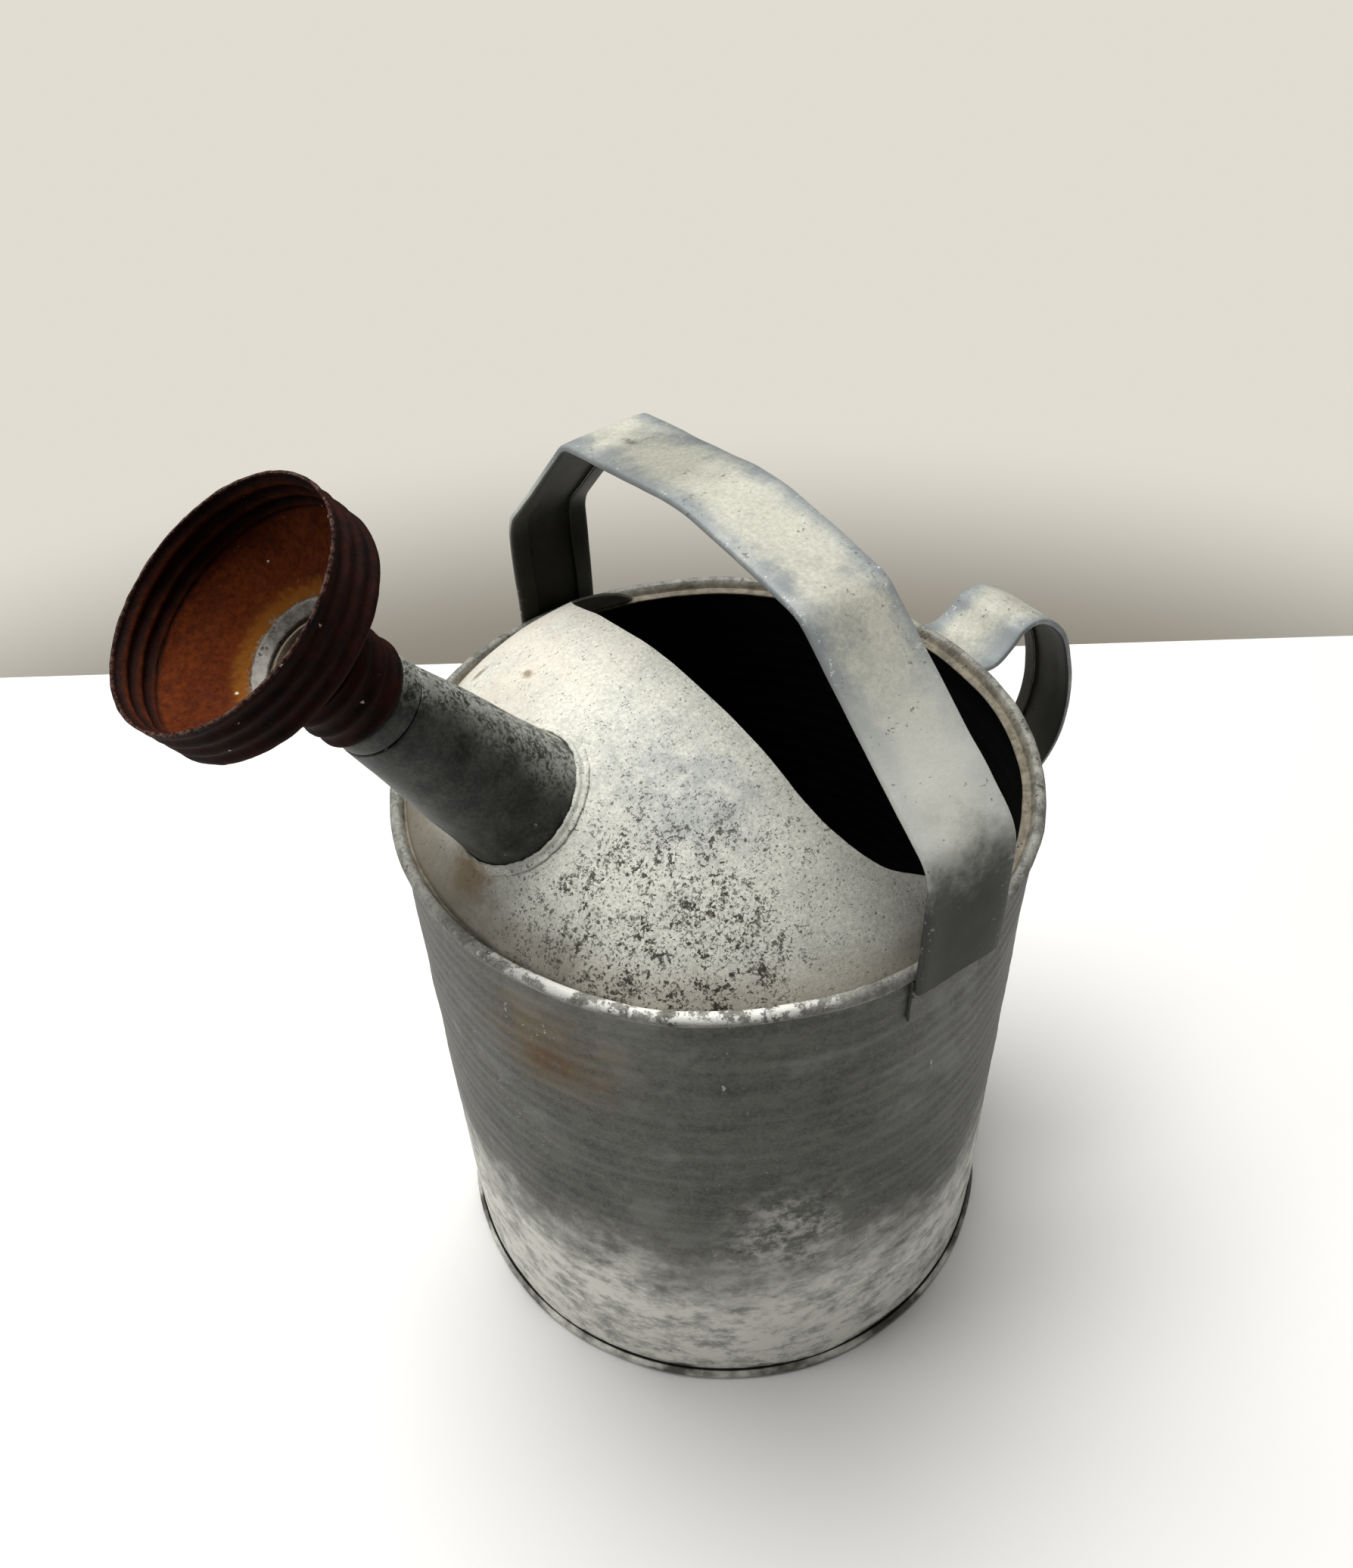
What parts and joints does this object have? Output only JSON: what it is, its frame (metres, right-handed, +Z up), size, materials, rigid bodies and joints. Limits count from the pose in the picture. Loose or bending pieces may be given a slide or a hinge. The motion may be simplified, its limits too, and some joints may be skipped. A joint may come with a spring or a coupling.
{
  "type": "watering can",
  "caption": "Galvanised metal watering can with a domed half cover, arched strap handle, rear strap handle and a short spout with a screw-on rose.",
  "frame": {"origin": "on the body's own axis, on the surface the can stands on, which is also the middle of its box to within 2 mm", "axes": "+Z up along the body's axis, +X towards the spout, the top handle spans Y, the rear handle is at -X"},
  "size_m": [0.3366, 0.2218, 0.3686],
  "materials": {
    "wall_zinc": "old galvanised sheet, dark grey, mottled, with chalky deposits and some rust",
    "deck_zinc": "chalky pale galvanised sheet with dark pits",
    "handle_zinc": "pale galvanised strap, worn, darker at the feet",
    "spout_zinc": "dark grey galvanised sheet with pale speckles",
    "solder": "dull grey solder",
    "rusty_steel": "rusted steel, nearly black outside and orange-brown inside its funnel",
    "washer_rubber": "matt black"
  },
  "bodies": {
    "can": {"body_wall": "wall_zinc", "base_plate": "wall_zinc", "deck": "deck_zinc", "top_handle": "handle_zinc", "handle_lug_near": "wall_zinc", "handle_lug_far": "wall_zinc", "solder_handle_near": "solder", "solder_handle_far": "solder", "rear_handle": "handle_zinc", "solder_rear_upper": "solder", "solder_rear_lower": "solder", "spout_tube": "spout_zinc", "spout_ferrule": "spout_zinc", "solder_spout_foot": "solder"},
    "rose_washer": {"rose_washer": "washer_rubber"},
    "rose": {"rose_neck": "rusty_steel", "rose_cup": "rusty_steel", "rose_solder_ring": "solder"}
  },
  "joints": [
    {"name": "rose_travel", "type": "slide", "parent": "can", "child": "rose_washer", "axis": [0.5548, 0, 0.832], "range_m": [0, 0.0151]},
    {"name": "rose_turn", "type": "hinge", "parent": "rose_washer", "child": "rose", "pos_m": [0.11743, 0, 0.31451], "axis": [0.5548, 0, 0.832], "range_deg": [0, 900]}
  ],
  "couplings": [
    {"joint": "rose_travel", "follows": "rose_turn", "m_per_rad": 0.00095493}
  ]
}
